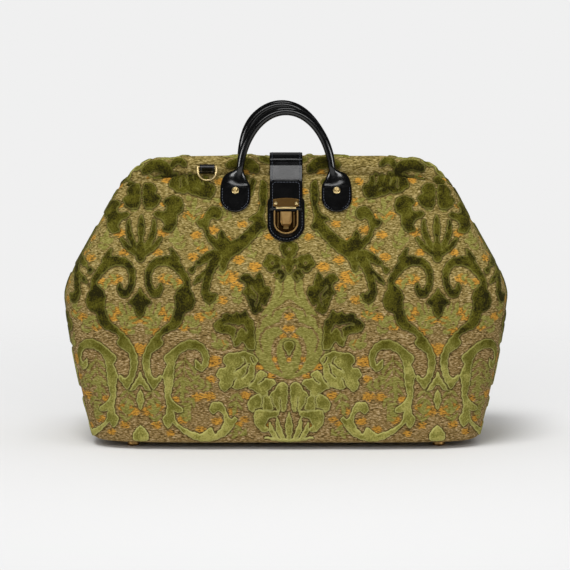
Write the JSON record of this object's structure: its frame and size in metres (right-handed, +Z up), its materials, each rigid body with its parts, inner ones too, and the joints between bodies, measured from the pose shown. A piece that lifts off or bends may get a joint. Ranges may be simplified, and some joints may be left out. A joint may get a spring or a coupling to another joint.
{
  "type": "carpet bag",
  "caption": "Hinged-frame carpet travel bag: sloping cloth top that opens on a steel frame, leather strap with tuck lock, rolled leather handles, D-rings and feet.",
  "frame": {"origin": "on the floor, under the middle of the bag", "axes": "+X along the bag, +Y to its back, +Z up; the lock faces -Y"},
  "size_m": [0.52, 0.2144, 0.3985],
  "materials": {
    "carpet_ground": "taupe ribbed ground weave of the carpet cloth",
    "carpet_pile": "green chenille pile",
    "lining_cloth": "plain dark cotton lining",
    "black_leather": "glossy black leather, stitched",
    "antique_brass": "antique brass plate, worn on its edges",
    "pale_brass": "pale polished brass wire",
    "frame_steel": "plain drawn steel rod and strip",
    "base_board": "brown stiffening board"
  },
  "bodies": {
    "bag": {"base_panel": "carpet_ground", "base_board": "base_board", "feet": "antique_brass", "front_panel": "carpet_ground", "rear_panel": "carpet_ground", "left_gusset": "carpet_ground", "right_gusset": "carpet_ground", "lining": "lining_cloth", "front_pile": "carpet_pile", "rear_pile": "carpet_pile", "hinge_pins": "frame_steel"},
    "front_jaw": {"front_frame": "frame_steel", "front_panel_upper": "carpet_ground", "front_pile_upper": "carpet_pile", "front_lining": "lining_cloth", "front_roll": "carpet_pile", "front_handle": "black_leather", "front_handle_rivets": "antique_brass", "lock_patch": "black_leather", "lock_body": "antique_brass", "lock_spring": "frame_steel", "lock_back_plate": "frame_steel", "front_ring_loop": "black_leather"},
    "rear_jaw": {"rear_frame": "frame_steel", "rear_panel_upper": "carpet_ground", "rear_pile_upper": "carpet_pile", "rear_lining": "lining_cloth", "rear_roll": "carpet_pile", "rear_handle": "black_leather", "rear_handle_rivets": "antique_brass", "strap": "black_leather", "rear_ring_loop": "black_leather"},
    "strap_front": {"strap_flap": "black_leather", "strap_end": "black_leather", "tongue_plate": "antique_brass", "tongue_rivets": "antique_brass"},
    "catch": {"lock_catch": "antique_brass"},
    "ring_front": {"front_ring": "pale_brass"},
    "ring_rear": {"rear_ring": "pale_brass"}
  },
  "joints": [
    {"name": "mouth_open", "type": "hinge", "parent": "bag", "child": "front_jaw", "pos_m": [0, 0, 0.186], "axis": [1, 0, 0], "range_deg": [0, 45], "deforming": ["strap_flap", "strap_end"]},
    {"name": "rear_open", "type": "hinge", "parent": "bag", "child": "rear_jaw", "pos_m": [0, 0, 0.186], "axis": [-1, 0, 0], "range_deg": [0, 45]},
    {"name": "strap_lift", "type": "hinge", "parent": "rear_jaw", "child": "strap_front", "pos_m": [0, -0.01763, 0.33726], "axis": [-1, 0, 0], "range_deg": [0, 212]},
    {"name": "lock_press", "type": "slide", "parent": "front_jaw", "child": "catch", "axis": [0, -0.5063, -0.8624], "range_m": [0, 0.003], "stiffness_N_per_m": 400, "springref_m": -0.002},
    {"name": "front_ring_swing", "type": "hinge", "parent": "front_jaw", "child": "ring_front", "pos_m": [-0.0936, -0.02385, 0.3275], "axis": [-1, 0, 0], "range_deg": [0, 150]},
    {"name": "rear_ring_swing", "type": "hinge", "parent": "rear_jaw", "child": "ring_rear", "pos_m": [0.0936, 0.02385, 0.3275], "axis": [1, 0, 0], "range_deg": [0, 150]}
  ],
  "couplings": [
    {"joint": "rear_open", "follows": "mouth_open", "ratio": 1},
    {"joint": "strap_lift", "follows": "mouth_open", "ratio": 4.7}
  ]
}
